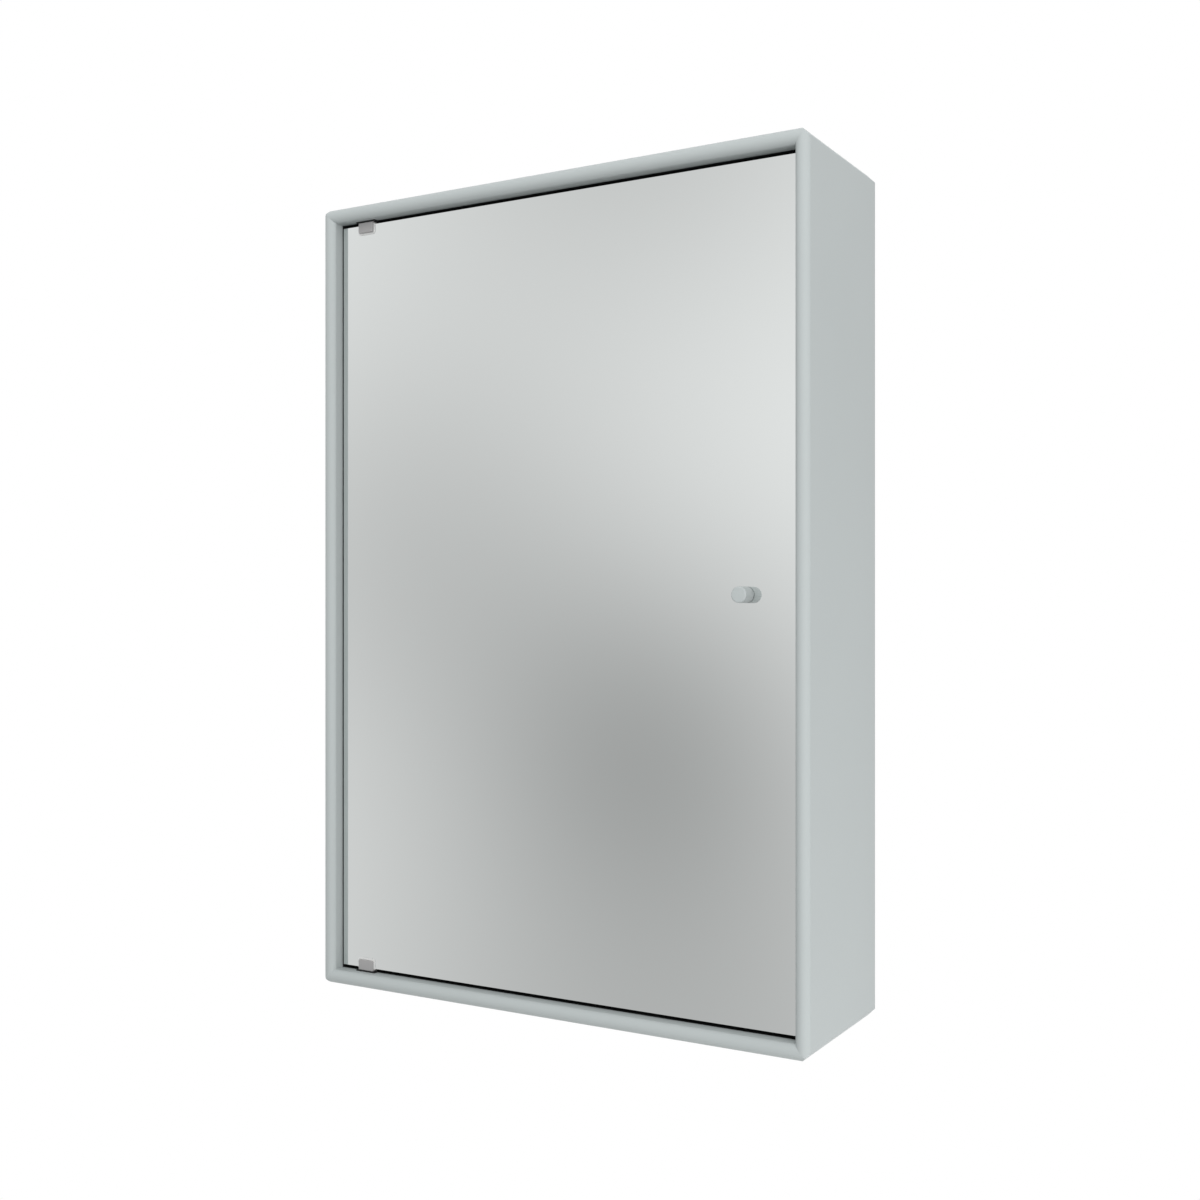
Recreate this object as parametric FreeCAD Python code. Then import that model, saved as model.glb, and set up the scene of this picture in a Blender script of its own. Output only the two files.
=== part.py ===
"""Wall-hung mirror cabinet: a mitred board carcass with a pivoting mirror door.

X runs to the right, Y into the wall and Z up. The origin is on the wall plane,
at the centre of the cabinet's back. Lengths are in millimetres.
"""
import FreeCAD, Part
import math
import os

V = FreeCAD.Vector
os.makedirs("parts", exist_ok=True)

# Carcass
width = 468.0
height = 696.0
depth = 146.0                 # wall to the crest of the rounded front edge
board = 12.0
nose_rise = 4.3               # bulge of the front edge past its two arrises
corner_cut = 6.25             # 45 degree cut along each outer corner
overrun = 5.0                 # how far every cutting shape passes the face that it cuts
same_place = 1e-6             # how close two values lie when they count as equal

# Corner dowels
dowel_dia = 4.0
dowel_length = 13.0
dowel_clear = 0.05
dowel_depth_shares = (0.2, 0.5, 0.8)

# Back panel, its screws and the wall holes
back_thick = 6.0
rebate = 6.0                  # how far the back panel laps onto each board
back_clear = 0.2
back_screw_dia = 3.0
back_screw_length = 16.0
back_screw_head_dia = 6.0
back_screw_head_depth = 1.8
back_screw_height_shares = (-0.42, 0.0, 0.42)
back_screw_width_shares = (-0.25, 0.25)
screw_clear = 0.05
slot_width = 0.8
slot_depth = 0.7
wall_hole_dia = 6.0
wall_hole_inset_x = 46.0      # wall holes from the inner faces of the side panels
wall_hole_inset_z = 56.0      # and from those of the top and bottom panels
wall_washer_dia = 18.0
wall_washer_thick = 1.5
wall_washer_hole_dia = 6.5

# Door
gap_side = 2.0
gap_end = 3.4
mirror_recess = 8.0           # glass front behind the arrises of the front edge
glass_thick = 4.0
film_thick = 0.5
glass_arris = 0.6

# Hinge clamps and pivots
clamp_offset = 27.0           # pivot axis from the glass's hinge-side edge
clamp_width = 15.8
clamp_lap = 7.2               # how far a clamp reaches over the glass
clamp_front = 2.0
clamp_bridge = 1.5
clamp_back = 8.0
clamp_round = 1.5
clamp_edge_round = 0.7
liner = 0.5
liner_border = 1.5            # how far the liner shows past the clamp
set_screw_dia = 3.0
set_screw_spread = 9.5
set_screw_socket_dia = 1.5
set_screw_socket_depth = 1.5
set_screw_sink = 0.4
pin_dia = 4.0
pin_grip = 8.0
pin_reach = 6.0               # how far a pin stands into its board
pin_tip_chamfer = 0.5
pivot_clear = 0.05
bush_dia = 8.0
bush_depth = 8.0
bush_bore_depth = 6.5
bush_border = 2.4             # how far the square flange shows past the clamp
bush_flange = 1.1

# Knob
knob_dia = 12.6
knob_length = 14.6
knob_round = 1.0
knob_inset = 41.6             # knob axis from the glass's free edge
knob_height = 0.0             # knob axis from mid height
knob_thread_dia = 4.0
knob_thread_depth = 9.0
grommet_flange_dia = 12.0
grommet_flange = 0.5
grommet_sleeve_dia = 6.6
glass_hole_dia = 7.0
knob_screw_dia = 3.9
knob_screw_reach = 7.0        # screw length inside the knob
knob_screw_head_dia = 7.6
knob_screw_head = 2.4
knob_washer_dia = 12.0
knob_washer_thick = 1.0
knob_hole_dia = 4.2

# Catch
catch_width = 15.0
catch_depth = 22.0
catch_height = 44.0
catch_edge_round = 1.5
catch_screw_dia = 3.0
catch_screw_bite = 8.0
catch_screw_head_dia = 6.0
catch_screw_head_depth = 1.8
catch_screw_spread = 32.0
magnet_width = 6.0
magnet_depth = 8.0
magnet_height = 20.0
magnet_proud = 0.4
magnet_clear = 0.1
catch_gap = 0.3               # magnet to the strike plate when the door is shut
strike_width = 11.0
strike_height = 30.0
strike_thick = 1.0
strike_inset = 1.5
strike_round = 2.0
adhesive_thick = 0.4
adhesive_border = 1.0

# Shelves and their supports
shelf_thick = 5.0
shelf_front_clear = 5.0       # shelf edge behind the swing of the door's hinge-side strip
shelf_back_clear = 1.5
shelf_end_clear = 0.7
shelf_round = 3.0
shelf_height_shares = (-0.17, 0.17)
support_dia = 5.0
support_depth = 8.0
support_collar_dia = 9.0
support_collar = 1.5
support_tongue_length = 7.0
support_tongue_width = 8.0
support_tongue_thick = 2.5
support_clear = 0.05
support_inset = 16.0          # support from the shelf's front and back edges
support_pitch = 32.0          # spacing of the spare holes

# Places worked out from the sizes above
half_w = width / 2
half_h = height / 2
inner_x = half_w - board
inner_z = half_h - board
arris_y = -(depth - nose_rise)
glass_x = inner_x - gap_side
glass_z = inner_z - gap_end
glass_front = arris_y + mirror_recess
glass_back = glass_front + glass_thick
film_back = glass_back + film_thick
leg_front = film_back + liner
leg_back = leg_front + clamp_back
pivot_x = -glass_x + clamp_offset
pivot_y = (leg_front + leg_back) / 2
clamp_top = glass_z + liner + clamp_bridge
clamp_face = glass_front - liner - clamp_front
knob_x = glass_x - knob_inset
strike_back = film_back + adhesive_thick + strike_thick
magnet_front = strike_back + catch_gap
catch_front = magnet_front + magnet_proud
swing = math.hypot(clamp_offset, pivot_y - glass_front)
shelf_front = pivot_y + swing + shelf_front_clear
shelf_back = -back_thick - shelf_back_clear
shelf_end = inner_x - support_collar - shelf_end_clear

X_AXIS = V(1, 0, 0)
Y_AXIS = V(0, 1, 0)
Z_AXIS = V(0, 0, 1)
CENTRE = V(0, 0, 0)


def block(x, y, z):
    """Box between pairs of limits."""
    corner = V(min(x), min(y), min(z))
    return Part.makeBox(max(x) - min(x), max(y) - min(y), max(z) - min(z), corner)


def rod(diameter, start, end):
    """Cylinder between two points."""
    run = end.sub(start)
    return Part.makeCylinder(diameter / 2, run.Length, start, run)


def cone(dia_start, dia_end, start, end):
    run = end.sub(start)
    return Part.makeCone(dia_start / 2, dia_end / 2, run.Length, start, run)


def edges_along(shape, axis):
    """Straight edges of a shape that run along an axis."""
    found = []
    for edge in shape.Edges:
        if isinstance(edge.Curve, Part.Line) and abs(abs(edge.Curve.Direction.dot(axis)) - 1) < same_place:
            found.append(edge)
    return found


def flipped_z(shape):
    return shape.mirror(CENTRE, Z_AXIS)


def save(name, shape):
    shape.exportStep("parts/" + name + ".step")


def edge_board(run):
    """Mitred board with its outer face up at z = 0, its length along X and its nose towards -Y."""
    x0 = -run / 2
    arris_low = V(x0, arris_y, -board)
    arris_high = V(x0, arris_y, 0)
    crest = V(x0, -depth, -board / 2)
    back_high = V(x0, 0, 0)
    back_low = V(x0, 0, -board)
    sides = [
        Part.Arc(arris_low, crest, arris_high).toShape(),
        Part.makeLine(arris_high, back_high),
        Part.makeLine(back_high, back_low),
        Part.makeLine(back_low, arris_low),
    ]
    stick = Part.Face(Part.Wire(sides)).extrude(V(run, 0, 0))
    y0 = -depth - overrun
    half = run / 2
    plan = [
        V(-half + corner_cut, y0, 0),
        V(half - corner_cut, y0, 0),
        V(half - corner_cut / 2, y0, -corner_cut / 2),
        V(half - board, y0, -board),
        V(-half + board, y0, -board),
        V(-half + corner_cut / 2, y0, -corner_cut / 2),
    ]
    mitre = Part.Face(Part.makePolygon(plan + plan[:1])).extrude(V(0, depth + 2 * overrun, 0))
    return stick.common(mitre)


def corner_dowels(diameter):
    """Dowels square to each mitre, centred on it."""
    middle = (corner_cut / 2 + board) / 2
    dowels = []
    for side in (-1, 1):
        for end in (-1, 1):
            along = V(-side, 0, end).normalize().multiply(dowel_length / 2)
            for share in dowel_depth_shares:
                place = V(side * (half_w - middle), -depth * share, end * (half_h - middle))
                dowels.append(rod(diameter, place.sub(along), place.add(along)))
    return dowels


def back_screw_places():
    """Screws half way across the lap of the back panel on each board."""
    row_x = inner_x + rebate / 2
    row_z = inner_z + rebate / 2
    places = []
    for side in (-1, 1):
        for share in back_screw_height_shares:
            places.append((side * row_x, share * height))
        for share in back_screw_width_shares:
            places.append((share * width, side * row_z))
    return places


def slotted_screw(diameter, length, head_dia, head_depth):
    """Countersunk screw with its head's face at y = 0 and its shank towards -Y."""
    shank = rod(diameter, CENTRE, V(0, -length, 0))
    head = cone(head_dia, diameter, CENTRE, V(0, -head_depth, 0))
    slot = block((-head_dia, head_dia), (-slot_depth, overrun), (-slot_width / 2, slot_width / 2))
    return shank.fuse(head).removeSplitter().cut(slot)


def screw_seat(diameter, length, head_dia, head_depth):
    """Room for a countersunk screw, with the clearance all round."""
    wide = diameter + 2 * screw_clear
    seat = rod(wide, V(0, overrun, 0), V(0, -length - screw_clear, 0))
    return seat.fuse(cone(head_dia + 2 * screw_clear, wide, CENTRE, V(0, -head_depth, 0)))


def at(shape, x, y, z):
    return shape.translated(V(x, y, z))


def support_heights(spare):
    """Heights of the shelf supports, with the spare holes above and below when asked."""
    steps = (-1, 0, 1) if spare else (0,)
    heights = []
    for share in shelf_height_shares:
        for step in steps:
            under = share * height - support_tongue_thick / 2
            heights.append(under + step * support_pitch)
    return heights


support_rows = (shelf_front + support_inset, shelf_back - support_inset)


def support_holes():
    holes = []
    reach = support_depth + support_clear
    for side in (-1, 1):
        for y in support_rows:
            for z in support_heights(True):
                mouth = V(side * (inner_x - overrun), y, z)
                floor = V(side * (inner_x + reach), y, z)
                holes.append(rod(support_dia + 2 * support_clear, mouth, floor))
    return holes


def shelf_supports():
    """Shank in the board, collar against it and a flat tongue under the shelf."""
    supports = []
    for side in (-1, 1):
        for y in support_rows:
            for z in support_heights(False):
                wall = V(side * inner_x, y, z)
                inside = V(side * (inner_x + support_depth), y, z)
                face = V(side * (inner_x - support_collar), y, z)
                tip_x = side * (inner_x - support_collar - support_tongue_length)
                tongue = block(
                    (side * inner_x, tip_x),
                    (y - support_tongue_width / 2, y + support_tongue_width / 2),
                    (z - support_tongue_thick / 2, z + support_tongue_thick / 2),
                )
                body = rod(support_dia, wall, inside).fuse(rod(support_collar_dia, wall, face))
                supports.append(body.fuse(tongue).removeSplitter())
    return supports


def shelf(share):
    z = share * height
    pane = block((-shelf_end, shelf_end), (shelf_front, shelf_back), (z, z + shelf_thick))
    return pane.makeFillet(shelf_round, edges_along(pane, Z_AXIS))


def catch_screw_turn(shape):
    """Turn a screw made along -Y so that it points to +X."""
    return shape.rotated(CENTRE, Z_AXIS, 90)


def catch_screws(shape):
    y = catch_front + (magnet_depth + catch_depth) / 2
    x = inner_x - catch_width
    placed = []
    for side in (-1, 1):
        placed.append(at(shape, x, y, side * catch_screw_spread / 2))
    return placed


def magnet(extra):
    half = magnet_width / 2 + extra
    middle = glass_x - strike_inset - strike_width / 2
    return block(
        (middle - half, middle + half),
        (magnet_front, magnet_front + magnet_depth + extra),
        (-magnet_height / 2 - extra, magnet_height / 2 + extra),
    )


def hinge_clamp():
    """Upper clamp: a front plate, a bridge over the glass edge and a thick back leg."""
    x = (pivot_x - clamp_width / 2, pivot_x + clamp_width / 2)
    bottom = glass_z - clamp_lap
    clamp = block(x, (clamp_face, leg_back), (bottom, clamp_top))
    corners = [edge for edge in edges_along(clamp, Y_AXIS) if edge.BoundBox.ZMax < glass_z]
    clamp = clamp.makeFillet(clamp_round, corners)
    face = [edge for edge in clamp.Edges if abs(edge.BoundBox.YMax - clamp_face) < same_place]
    clamp = clamp.makeFillet(clamp_edge_round, face)
    wide = (x[0] - overrun, x[1] + overrun)
    mouth = block(wide, (glass_front - liner, leg_front), (bottom - overrun, glass_z + liner))
    clamp = clamp.cut(mouth)
    grip = rod(pin_dia + 2 * dowel_clear, V(pivot_x, pivot_y, clamp_top - pin_grip),
               V(pivot_x, pivot_y, clamp_top + overrun))
    clamp = clamp.cut(grip)
    for hole in set_screw_rods(set_screw_dia + 2 * screw_clear, leg_front - overrun, leg_back + overrun):
        clamp = clamp.cut(hole)
    return clamp


def set_screw_rods(diameter, y0, y1):
    z = glass_z - clamp_lap / 2
    rods = []
    for side in (-1, 1):
        x = pivot_x + side * set_screw_spread / 2
        rods.append(rod(diameter, V(x, y0, z), V(x, y1, z)))
    return rods


def hinge_set_screws():
    """Headless screws that press on the liner behind the glass, two in each clamp."""
    bodies = set_screw_rods(set_screw_dia, leg_front, leg_back - set_screw_sink)
    socket_floor = leg_back - set_screw_sink - set_screw_socket_depth
    sockets = set_screw_rods(set_screw_socket_dia, socket_floor, leg_back)
    screws = [body.cut(socket) for body, socket in zip(bodies, sockets)]
    return screws + [flipped_z(screw) for screw in screws]


def hinge_liner():
    """Soft strip folded over the glass edge inside a clamp, with a border that shows round it."""
    half = clamp_width / 2 + liner_border
    x = (pivot_x - half, pivot_x + half)
    bottom = glass_z - clamp_lap - liner_border
    strip = block(x, (glass_front - liner, leg_front), (bottom, glass_z + liner))
    corners = [edge for edge in edges_along(strip, Y_AXIS) if edge.BoundBox.ZMax < glass_z]
    strip = strip.makeFillet(clamp_round + liner_border, corners)
    wide = (x[0] - overrun, x[1] + overrun)
    return strip.cut(block(wide, (glass_front, film_back), (bottom - overrun, glass_z)))


def pivot_pin():
    foot = V(pivot_x, pivot_y, clamp_top - pin_grip)
    tip = V(pivot_x, pivot_y, inner_z + pin_reach)
    shoulder = V(pivot_x, pivot_y, inner_z + pin_reach - pin_tip_chamfer)
    return rod(pin_dia, foot, shoulder).fuse(cone(pin_dia, pin_dia - 2 * pin_tip_chamfer, shoulder, tip))


def pivot_bush():
    """Plain bearing with a square flange that the clamp turns against."""
    half = clamp_width / 2 + bush_border
    x = (pivot_x - half, pivot_x + half)
    flange = block(x, (clamp_face, leg_back + bush_border), (inner_z - bush_flange, inner_z))
    face = V(pivot_x, pivot_y, inner_z)
    end = V(pivot_x, pivot_y, inner_z + bush_depth)
    bush = flange.fuse(rod(bush_dia, face, end)).removeSplitter()
    bore_end = V(pivot_x, pivot_y, inner_z + bush_bore_depth)
    bore_start = V(pivot_x, pivot_y, inner_z - bush_flange - overrun)
    return bush.cut(rod(pin_dia + 2 * pivot_clear, bore_start, bore_end))


def knob_rod(diameter, y0, y1):
    return rod(diameter, V(knob_x, y0, knob_height), V(knob_x, y1, knob_height))


knob_foot = glass_front - grommet_flange
knob_face = knob_foot - knob_length


def door_knob():
    knob = knob_rod(knob_dia, knob_foot, knob_face)
    rim = [edge for edge in knob.Edges if abs(edge.BoundBox.YMax - knob_face) < same_place]
    knob = knob.makeFillet(knob_round, rim)
    return knob.cut(knob_rod(knob_thread_dia, knob_foot + overrun, knob_foot - knob_thread_depth))


def knob_grommet():
    flange = knob_rod(grommet_flange_dia, knob_foot, glass_front)
    sleeve = knob_rod(grommet_sleeve_dia, glass_front, film_back)
    grommet = flange.fuse(sleeve).removeSplitter()
    return grommet.cut(knob_rod(knob_hole_dia, knob_foot - overrun, film_back + overrun))


def knob_washer():
    ring = knob_rod(knob_washer_dia, film_back, film_back + knob_washer_thick)
    return ring.cut(knob_rod(knob_hole_dia, film_back - overrun, film_back + overrun))


def knob_screw():
    seat = film_back + knob_washer_thick
    shank = knob_rod(knob_screw_dia, knob_foot - knob_screw_reach, seat)
    head = knob_rod(knob_screw_head_dia, seat, seat + knob_screw_head)
    top = seat + knob_screw_head
    bar = knob_screw_head_dia / 2
    slot = block((knob_x - bar, knob_x + bar), (top - slot_depth, top + overrun),
                 (knob_height - slot_width / 2, knob_height + slot_width / 2))
    return shank.fuse(head).removeSplitter().cut(slot)


def strike(border, y0, y1, corner_round):
    """Flat plate on the back of the door near its free edge."""
    right = glass_x - strike_inset
    plate = block((right - strike_width + border, right - border), (y0, y1),
                  (-strike_height / 2 + border, strike_height / 2 - border))
    return plate.makeFillet(corner_round, edges_along(plate, Y_AXIS))


def safety_film():
    sheet = block((-glass_x, glass_x), (glass_back, film_back), (-glass_z, glass_z))
    return sheet.cut(knob_rod(glass_hole_dia, glass_back - overrun, film_back + overrun))


def mirror_glass():
    """Plain pane with a ground arris round its front face."""
    sheet = block((-glass_x, glass_x), (glass_front, glass_back), (-glass_z, glass_z))
    rim = [edge for edge in sheet.Edges if abs(edge.BoundBox.YMax - glass_front) < same_place]
    sheet = sheet.makeChamfer(glass_arris, rim)
    return sheet.cut(knob_rod(glass_hole_dia, glass_front - overrun, glass_back + overrun))


def back_panel():
    x = inner_x + rebate - back_clear
    z = inner_z + rebate - back_clear
    panel = block((-x, x), (-back_thick, 0), (-z, z))
    for px, pz in wall_hole_places():
        panel = panel.cut(rod(wall_hole_dia, V(px, -back_thick - overrun, pz), V(px, overrun, pz)))
    return panel


def wall_hole_places():
    places = []
    for side in (-1, 1):
        for end in (-1, 1):
            places.append((side * (inner_x - wall_hole_inset_x), end * (inner_z - wall_hole_inset_z)))
    return places


def wall_washers():
    washers = []
    for x, z in wall_hole_places():
        near = V(x, -back_thick, z)
        far = V(x, -back_thick - wall_washer_thick, z)
        ring = rod(wall_washer_dia, near, far)
        hole = rod(wall_washer_hole_dia, near.add(V(0, overrun, 0)), far.sub(V(0, overrun, 0)))
        washers.append(ring.cut(hole))
    return washers


# Boards, with everything that is let into them cut away
top = at(edge_board(width), 0, 0, half_h)
side = edge_board(height).rotated(CENTRE, Y_AXIS, -90)
left = at(side, -half_w, 0, 0)
boards = {
    "top_panel": top,
    "bottom_panel": flipped_z(top),
    "left_side_panel": left,
    "right_side_panel": left.mirror(CENTRE, X_AXIS),
}
back_seat = block((-inner_x - rebate, inner_x + rebate), (-back_thick, overrun),
                  (-inner_z - rebate, inner_z + rebate))
bush_end = V(pivot_x, pivot_y, inner_z + bush_depth + dowel_clear)
bush_hole = rod(bush_dia + 2 * dowel_clear, V(pivot_x, pivot_y, inner_z - overrun), bush_end)
back_seats = screw_seat(back_screw_dia, back_screw_length, back_screw_head_dia, back_screw_head_depth)
back_holes = [at(back_seats, x, 0, z) for x, z in back_screw_places()]
catch_bite = catch_width + catch_screw_bite
catch_seat = catch_screw_turn(
    screw_seat(catch_screw_dia, catch_bite, catch_screw_head_dia, catch_screw_head_depth))
catch_holes = catch_screws(catch_seat)
cuts = [back_seat, bush_hole, flipped_z(bush_hole)]
cuts += corner_dowels(dowel_dia + 2 * dowel_clear) + back_holes + support_holes() + catch_holes
for name, shape in boards.items():
    touching = [cut for cut in cuts if cut.BoundBox.intersect(shape.BoundBox)]
    save(name, shape.cut(touching))

save("corner_dowels", Part.makeCompound(corner_dowels(dowel_dia)))
save("back_panel", back_panel().cut(back_holes))
back_screw = slotted_screw(back_screw_dia, back_screw_length, back_screw_head_dia, back_screw_head_depth)
save("back_panel_screws", Part.makeCompound([at(back_screw, x, 0, z) for x, z in back_screw_places()]))
save("wall_fixing_washers", Part.makeCompound(wall_washers()))

save("lower_shelf", shelf(shelf_height_shares[0]))
save("upper_shelf", shelf(shelf_height_shares[1]))
save("shelf_supports", Part.makeCompound(shelf_supports()))

save("upper_pivot_bush", pivot_bush())
save("lower_pivot_bush", flipped_z(pivot_bush()))

housing = block((inner_x - catch_width, inner_x), (catch_front, catch_front + catch_depth),
                (-catch_height / 2, catch_height / 2))
housing = housing.makeFillet(catch_edge_round, edges_along(housing, Y_AXIS))
save("catch_housing", housing.cut([magnet(magnet_clear)] + catch_holes))
save("catch_magnet", magnet(0))
catch_screw = catch_screw_turn(
    slotted_screw(catch_screw_dia, catch_bite, catch_screw_head_dia, catch_screw_head_depth))
save("catch_screws", Part.makeCompound(catch_screws(catch_screw)))

save("mirror_glass", mirror_glass())
save("mirror_safety_film", safety_film())
save("upper_hinge_clamp", hinge_clamp())
save("lower_hinge_clamp", flipped_z(hinge_clamp()))
save("upper_hinge_liner", hinge_liner())
save("lower_hinge_liner", flipped_z(hinge_liner()))
save("upper_pivot_pin", pivot_pin())
save("lower_pivot_pin", flipped_z(pivot_pin()))
save("hinge_set_screws", Part.makeCompound(hinge_set_screws()))
save("door_knob", door_knob())
save("knob_grommet", knob_grommet())
save("knob_washer", knob_washer())
save("knob_screw", knob_screw())
adhesive_back = film_back + adhesive_thick
save("strike_plate", strike(0, adhesive_back, strike_back, strike_round))
save("strike_adhesive_pad", strike(adhesive_border, film_back, adhesive_back, strike_round - adhesive_border))
print("pivot axis", pivot_x, pivot_y, "knob", knob_x, "shelf front", shelf_front, "swing", swing)
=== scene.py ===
"""Looks of the wall-hung mirror cabinet: lacquered boards, silvered glass and small fittings.

X runs to the right, Y into the wall and Z up, in metres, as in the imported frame.
"""
import math

import bmesh
import bpy
from mathutils import Matrix, Vector


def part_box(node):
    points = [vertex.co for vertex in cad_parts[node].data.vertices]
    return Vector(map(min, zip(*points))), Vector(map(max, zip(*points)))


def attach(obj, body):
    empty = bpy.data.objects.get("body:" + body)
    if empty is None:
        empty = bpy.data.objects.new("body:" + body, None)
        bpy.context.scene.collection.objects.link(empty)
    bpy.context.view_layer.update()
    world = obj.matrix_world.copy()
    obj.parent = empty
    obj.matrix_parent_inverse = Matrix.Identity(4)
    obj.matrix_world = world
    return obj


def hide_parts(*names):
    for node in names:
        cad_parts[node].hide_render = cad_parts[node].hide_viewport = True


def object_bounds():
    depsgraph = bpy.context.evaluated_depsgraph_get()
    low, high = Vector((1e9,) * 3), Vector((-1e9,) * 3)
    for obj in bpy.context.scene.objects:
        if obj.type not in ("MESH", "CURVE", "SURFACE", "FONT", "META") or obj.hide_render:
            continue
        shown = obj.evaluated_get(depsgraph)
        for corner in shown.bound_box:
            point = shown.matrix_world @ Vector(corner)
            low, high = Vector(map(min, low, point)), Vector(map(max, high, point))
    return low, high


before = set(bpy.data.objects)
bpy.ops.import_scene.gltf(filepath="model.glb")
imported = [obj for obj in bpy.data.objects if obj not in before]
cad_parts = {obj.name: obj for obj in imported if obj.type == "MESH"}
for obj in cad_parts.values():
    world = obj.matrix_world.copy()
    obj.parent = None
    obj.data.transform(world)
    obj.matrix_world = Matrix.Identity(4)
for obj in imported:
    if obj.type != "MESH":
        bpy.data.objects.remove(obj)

cad_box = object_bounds()
MM = 0.001

# Camera: level, from the right, at the distance that the photograph's perspective gives
FRAME_PX = 1200
FOCAL_PX = 1449.8
HORIZON_PX = 606.0
SENSOR_MM = 36.0
VIEW_TURN_DEG = 30.16
CAMERA_PLACE = (0.640, -1.1519, -0.0086)

# Boards
BOARD = 12.0 * MM
NOSE_RISE = 4.3 * MM
NOSE_STEPS = 28
CORNER_CUT = 6.25 * MM
EASED = 0.2 * MM
EASED_STEPS = 3
REBATE = 6.0 * MM
# Painted shade: a black band on the boards' inner faces stands in for the dark of the gap; it starts
# this far behind the mirror's face
SIDE_SHADE_SETBACK = 1.0 * MM
RAIL_SHADE_SETBACK = 2.4 * MM
SHADE_BAND = 14.0 * MM

# Meshes
SHARP_DEG = 25                # edges sharper than this are rounded over
CRISP_DEG = 12                # keeps the flat faces flat beside their eased edges
CREASE_DEG = 30               # turned and cast pieces look smooth up to here
WELD = 0.001 * MM
TURNED_SIDES = 64

# Mirror, shelves and knob
SHELVES = ("lower_shelf", "upper_shelf")
MIRROR_ARRIS = 0.1 * MM
MIRROR_ARRIS_STEPS = 1
MIRROR_HOLE = 7.0 * MM
MIRROR_HOLE_SIDES = 48
DRILL_LENGTH = 100.0 * MM
SHELF_ARRIS = 0.7 * MM
SHELF_ARRIS_STEPS = 2
SHELF_ROUND = 3.0 * MM
PANE_ROUND_STEPS = 8
KNOB_ROUND = 1.0 * MM
KNOB_ROUND_STEPS = 8
KNOB_RELIEF = 0.3 * MM

# Shelf supports and the spare holes round them
SUPPORT_INSET = 16.0 * MM
SUPPORT_PITCH = 32.0 * MM
SUPPORT_HOLE = 5.1 * MM
SUPPORT_HOLE_SIDES = 32
SUPPORT_FIT = 0.1 * MM
SUPPORT_DEPTH = 8.0 * MM
SUPPORT_CHAMFER = 0.3 * MM
COLLAR = 9.0 * MM
COLLAR_THICK = 1.5 * MM
TONGUE_LENGTH = 7.0 * MM
TONGUE_WIDTH = 8.0 * MM
TONGUE_THICK = 2.5 * MM
TONGUE_ROUND = 0.4 * MM
TONGUE_ROUND_STEPS = 2

# Screws and washers
SCREW_HEAD = 6.0 * MM
SCREW_HEAD_DEPTH = 1.8 * MM
SCREW_SHANK = 3.0 * MM
SCREW_POINT = 4.0 * MM
SLOT_WIDTH = 0.8 * MM
SLOT_DEPTH = 0.7 * MM
SAW_LENGTH = 20.0 * MM
BACK_SCREW_LENGTH = 16.0 * MM
CATCH_SCREW_LENGTH = 23.0 * MM
CATCH_SCREW_SPREAD = 32.0 * MM
SLOT_TURN = 0.7               # from one screw's slot to the next, in radians
BACK_SCREW_HEIGHT_SHARES = (-0.42, 0.0, 0.42)
BACK_SCREW_WIDTH_SHARES = (-0.25, 0.25)
WASHER = 18.0 * MM
WASHER_HOLE = 6.5 * MM
WASHER_SIDES = 64
WASHER_ROUND = 0.4 * MM
WASHER_ROUND_STEPS = 4

# Finishes: the size of each pattern in mm
ORANGE_PEEL_MM = 1.6
CLOUDING_MM = 90.0
ROLLER_RIPPLE_MM = 120.0
RIPPLE_DULL = 0.03
POLISH_MM = 25.0
FLECK_MM = 1.2
GLASS_IOR = 1.52
# How far a finish varies: least and most of its colour, swing of its roughness, its relief
LACQUER_VARIES = {"levels": (0.98, 1.02), "swing": 0.05, "strength": 0.15, "depth": 0.03 * MM}
METAL_VARIES = {"levels": (0.9, 1.06), "swing": 0.08, "strength": 0.2, "depth": 0.02 * MM}
MOULDED_VARIES = {"levels": (0.9, 1.05), "swing": 0.06, "strength": 0.25, "depth": 0.03 * MM}

# Studio
AMBIENT = 0.515
ROOM_LEAN = 0.06              # a little more light from above
THROWN_BACK = 0.06            # the room as the mirror throws it back on the boards
THROWN_LEAN = 0.8
WARM = (1.0, 0.97, 0.97)      # lamps a little warmer than the room
# Lamps: place, aim, size across and power
LAMPS = {
    "key": ((1.86, -1.77, 0.35), (0, -0.1, 0), 1.4, 24.5),
    "top": ((0.1, -1.5, 1.95), (0, -0.1, 0), 1.0, 15),
    "low_right": ((0.8, -0.3, -0.75), (0.234, -0.07, -0.4), 0.3, 1.3),
}
# Soft grey flags round the set, seen only in reflections: degrees left of the front, degrees up,
# spread in degrees and how much white each takes away
FLAGS = (
    (28.0, -4.8, 5.4, 0.27),
    (27.7, -18.5, 12.2, 0.47),
    (38.1, 2.9, 6.4, 0.28),
    (29.4, 21.0, 7.9, 0.36),
)
PAPER = "#C4C4C2"
PAPER_ROUGHNESS = 0.9
FLOOR_Z = -1.45
FLOOR_RADIUS = 2.0
FLOOR_SIDES = 96
FLOOR_WHOLE = 0.6             # the paper fades out from here to its rim
FLOOR_LIFT = 0.61


def linear(hex_colour, level=1.0):
    """sRGB hex to a linear colour, made lighter or darker by a level."""
    channels = [int(hex_colour[i:i + 2], 16) / 255 for i in (1, 3, 5)]
    flat = [c / 12.92 if c <= 0.04045 else ((c + 0.055) / 1.055) ** 2.4 for c in channels]
    return [c * level for c in flat] + [1.0]


def add(tree, kind, links=None, **settings):
    """One node with its settings; links maps an input to a value, an output or a list of outputs."""
    node = tree.nodes.new(kind)
    for key, value in settings.items():
        setattr(node, key, value)
    for key, value in (links or {}).items():
        socket = node.inputs[key]
        outputs = value if isinstance(value, list) else [value]
        if isinstance(outputs[0], bpy.types.NodeSocket):
            for each in outputs:
                tree.links.new(each, socket)
        else:
            socket.default_value = value
    return node


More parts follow.
